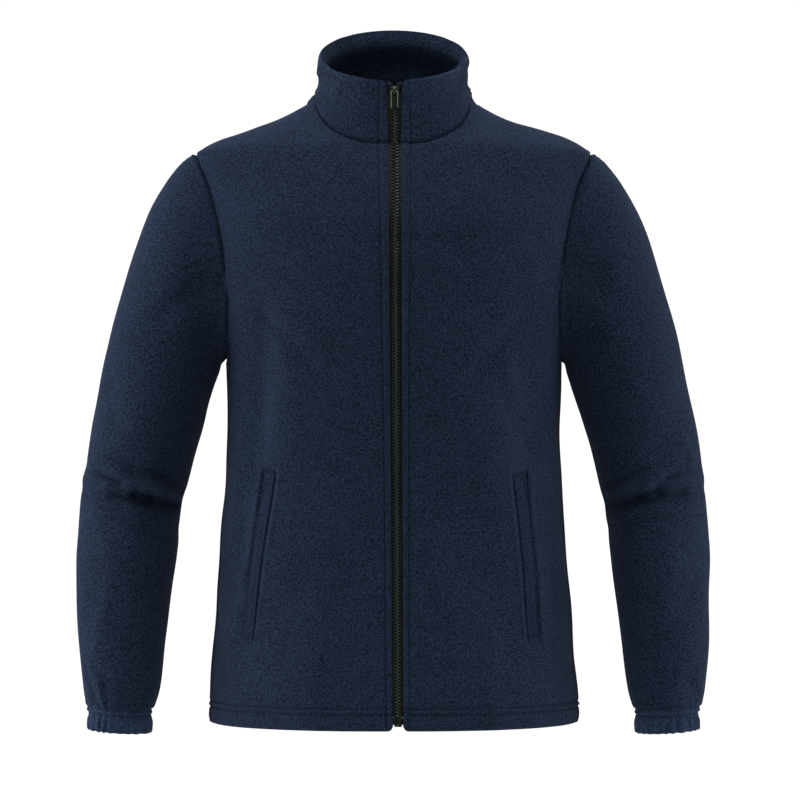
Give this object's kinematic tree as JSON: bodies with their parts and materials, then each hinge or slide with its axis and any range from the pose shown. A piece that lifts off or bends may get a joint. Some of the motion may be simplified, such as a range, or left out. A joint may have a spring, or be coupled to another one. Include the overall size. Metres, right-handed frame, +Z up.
{
  "type": "fleece zip jacket",
  "caption": "Hip-length fleece jacket with a stand collar, full-length moulded front zip, slanted welt pockets and gathered cuffs, closed and filled out as when worn.",
  "frame": {"origin": "middle of the neck, level with the top of the shoulders, where the wearer's shoulders hold the jacket", "axes": "+Z up, the wearer faces -Y, +X towards the wearer's left"},
  "size_m": [0.7154, 0.263, 0.795],
  "materials": {
    "fleece": "napped fleece, dark navy",
    "fleece_welt": "napped fleece, dark navy",
    "zip_tape": "woven polyester tape, black",
    "zip_plastic": "moulded, olive black, satin"
  },
  "bodies": {
    "jacket": {"back": "fleece", "front_left": "fleece", "front_right": "fleece", "sleeve_left": "fleece", "sleeve_right": "fleece", "cuff_left": "fleece", "cuff_right": "fleece", "collar": "fleece", "pocket_welt_left": "fleece_welt", "pocket_welt_right": "fleece_welt", "zip_tape_left": "zip_tape", "zip_tape_right": "zip_tape", "zip_chain": "zip_plastic", "zip_slider": "zip_plastic", "zip_stop_left": "zip_plastic", "zip_stop_right": "zip_plastic", "zip_box": "zip_plastic", "zip_pin": "zip_plastic"},
    "pull_tab": {"zip_pull_tab": "zip_plastic"}
  },
  "joints": [
    {"name": "pull_tab_swing", "type": "hinge", "parent": "jacket", "child": "pull_tab", "pos_m": [0.00125, -0.08204, 0.00254], "axis": [-1, 0, 0], "range_deg": [0, 165]}
  ]
}
